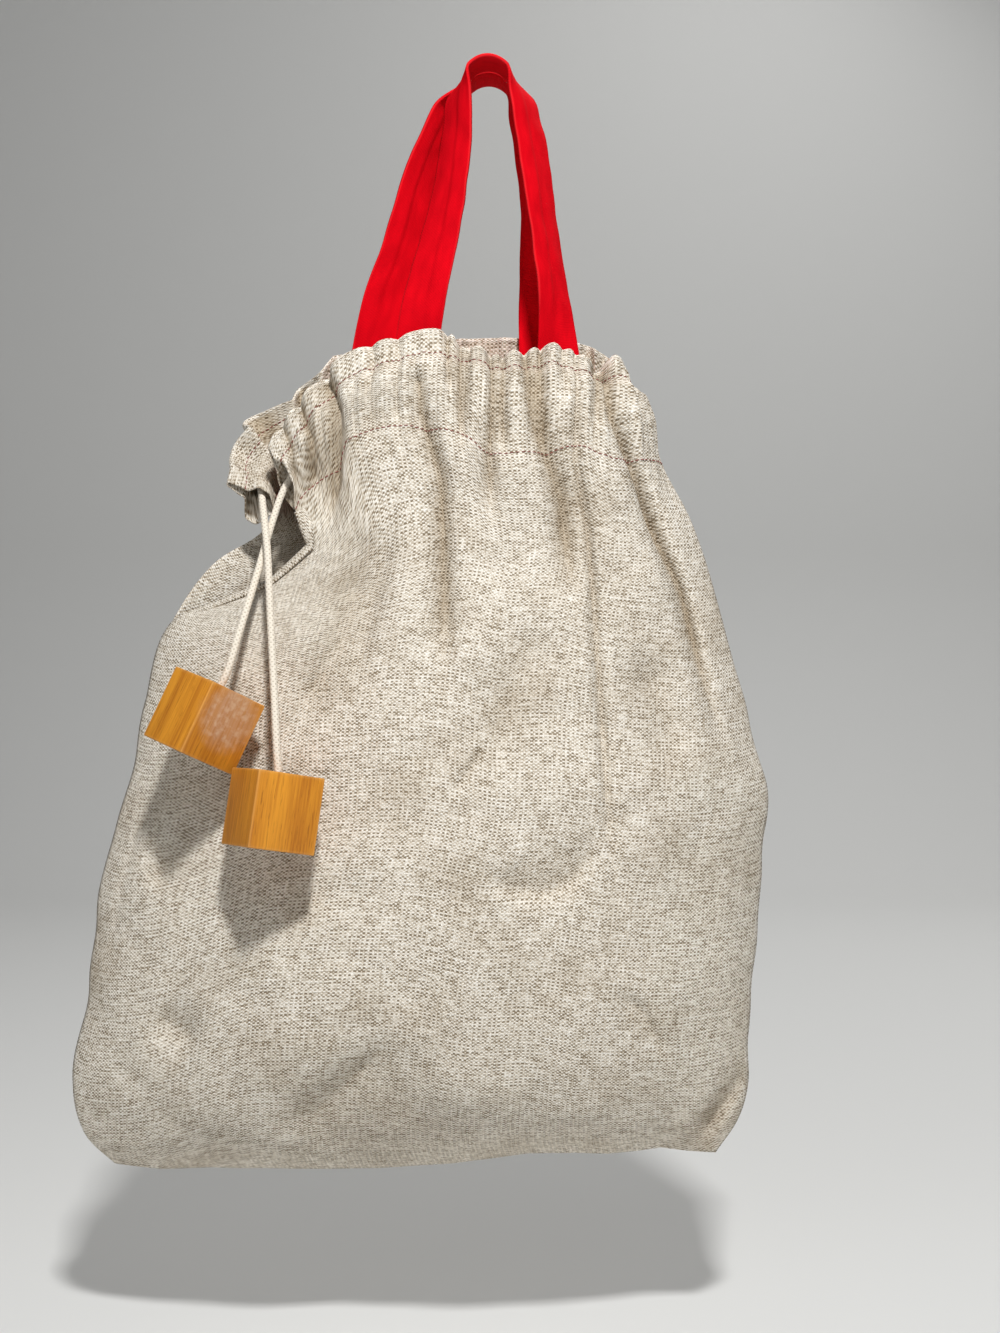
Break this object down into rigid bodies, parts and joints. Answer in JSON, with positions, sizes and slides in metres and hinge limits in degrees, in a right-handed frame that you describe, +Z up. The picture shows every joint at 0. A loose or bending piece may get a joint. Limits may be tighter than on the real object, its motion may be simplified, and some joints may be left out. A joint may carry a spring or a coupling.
{
  "type": "drawstring bag",
  "caption": "Gathered linen sack with a drawstring mouth, red strap handles, and a braided cord whose ends hang in stained wooden blocks.",
  "frame": {"origin": "the hang point, on the underside of the handles where they pass over a hook", "axes": "+Z up, +X to the viewer's right, the front of the bag faces -Y"},
  "size_m": [0.3812, 0.1516, 0.6038],
  "materials": {
    "linen": "natural oatmeal linen, woven, matte",
    "red_cotton": "dyed cotton strap, matte",
    "braided_cord": "off-white braided cord",
    "stained_wood": "honey-stained, satin"
  },
  "bodies": {
    "root": {"front_panel": "linen", "back_panel": "linen", "handle_front": "red_cotton", "handle_back": "red_cotton", "drawstring": "braided_cord", "cube_left": "stained_wood", "cube_right": "stained_wood"}
  },
  "joints": []
}
